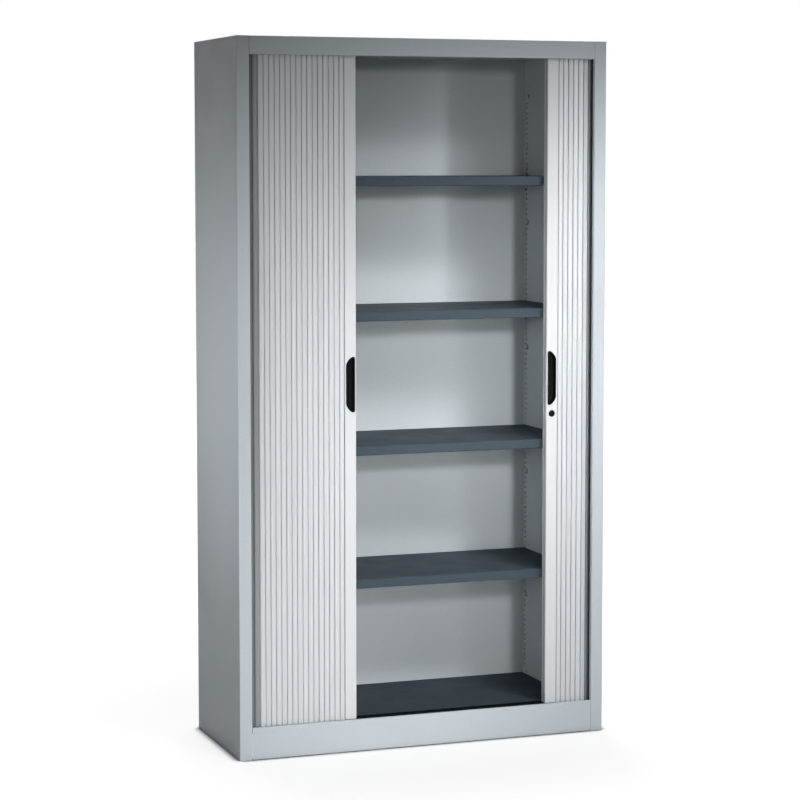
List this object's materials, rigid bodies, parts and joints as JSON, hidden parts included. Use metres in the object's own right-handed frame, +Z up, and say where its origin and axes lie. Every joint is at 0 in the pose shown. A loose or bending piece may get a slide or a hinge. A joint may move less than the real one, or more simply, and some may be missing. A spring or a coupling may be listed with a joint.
{
  "type": "tambour door cabinet",
  "caption": "Tall office cabinet closed by tambour doors that roll into side pockets, with shelves on hooked clips, recessed handles and a cylinder lock.",
  "frame": {"origin": "middle of the footprint, on the ground", "axes": "+Z up, +Y from the front to the back, +X to the right for a person facing the doors"},
  "size_m": [1.09, 0.43, 1.98],
  "materials": {
    "silver_paint": "fine metallic powder coat",
    "inner_paint": "fine metallic powder coat",
    "slat_plastic": "silver satin",
    "lead_metal": "satin",
    "shelf_paint": "anthracite powder coat",
    "black_plastic": "satin moulding",
    "zinc_steel": "zinc plated",
    "bright_metal": "nickel plated"
  },
  "bodies": {
    "carcass": {"left_side_panel": "silver_paint", "right_side_panel": "silver_paint", "top_panel": "silver_paint", "plinth_front": "silver_paint", "rear_base_rail": "silver_paint", "floor_panel": "shelf_paint", "ceiling_panel": "inner_paint", "back_panel": "inner_paint", "left_liner": "inner_paint", "right_liner": "inner_paint", "shelf_1": "shelf_paint", "shelf_2": "shelf_paint", "shelf_3": "shelf_paint", "shelf_4": "shelf_paint", "shelf_1_clip_left_front": "zinc_steel", "shelf_1_clip_left_rear": "zinc_steel", "shelf_1_clip_right_front": "zinc_steel", "shelf_1_clip_right_rear": "zinc_steel", "shelf_2_clip_left_front": "zinc_steel", "shelf_2_clip_left_rear": "zinc_steel", "shelf_2_clip_right_front": "zinc_steel", "shelf_2_clip_right_rear": "zinc_steel", "shelf_3_clip_left_front": "zinc_steel", "shelf_3_clip_left_rear": "zinc_steel", "shelf_3_clip_right_front": "zinc_steel", "shelf_3_clip_right_rear": "zinc_steel", "shelf_4_clip_left_front": "zinc_steel", "shelf_4_clip_left_rear": "zinc_steel", "shelf_4_clip_right_front": "zinc_steel", "shelf_4_clip_right_rear": "zinc_steel", "left_bottom_track": "black_plastic", "left_top_track": "black_plastic", "right_bottom_track": "black_plastic", "right_top_track": "black_plastic", "left_pocket_curtain": "slat_plastic", "right_pocket_curtain": "slat_plastic"},
    "left_door_tail": {"left_tail_curtain": "slat_plastic"},
    "left_door_front": {"left_lead_profile": "lead_metal", "left_front_curtain": "slat_plastic", "left_handle": "black_plastic", "left_bottom_shoe": "black_plastic", "left_top_shoe": "black_plastic", "lock_keeper": "zinc_steel"},
    "right_door_front": {"right_lead_profile": "lead_metal", "right_front_curtain": "slat_plastic", "right_handle": "black_plastic", "right_bottom_shoe": "black_plastic", "right_top_shoe": "black_plastic", "lock_housing": "black_plastic"},
    "lock_cylinder": {"lock_cylinder": "bright_metal"},
    "lock_bolt": {"lock_bolt": "zinc_steel"}
  },
  "joints": [
    {"name": "left_door_close", "type": "slide", "parent": "carcass", "child": "left_door_tail", "axis": [1, 0, 0], "range_m": [0, 0.2013]},
    {"name": "left_door_open", "type": "slide", "parent": "left_door_tail", "child": "left_door_front", "axis": [1, 0, 0], "range_m": [-0.1694, 0], "deforming": ["left_tail_curtain"]},
    {"name": "right_door_slide", "type": "slide", "parent": "carcass", "child": "right_door_front", "axis": [-1, 0, 0], "range_m": [0, 0.3707]},
    {"name": "lock_turn", "type": "hinge", "parent": "right_door_front", "child": "lock_cylinder", "pos_m": [0.3875, -0.201, 0.926], "axis": [0, -1, 0], "range_deg": [0, 90]},
    {"name": "lock_bolt_slide", "type": "slide", "parent": "right_door_front", "child": "lock_bolt", "axis": [-1, 0, 0], "range_m": [0, 0.01205]}
  ],
  "couplings": [
    {"joint": "lock_bolt_slide", "follows": "lock_turn", "m_per_rad": 0.007653}
  ]
}
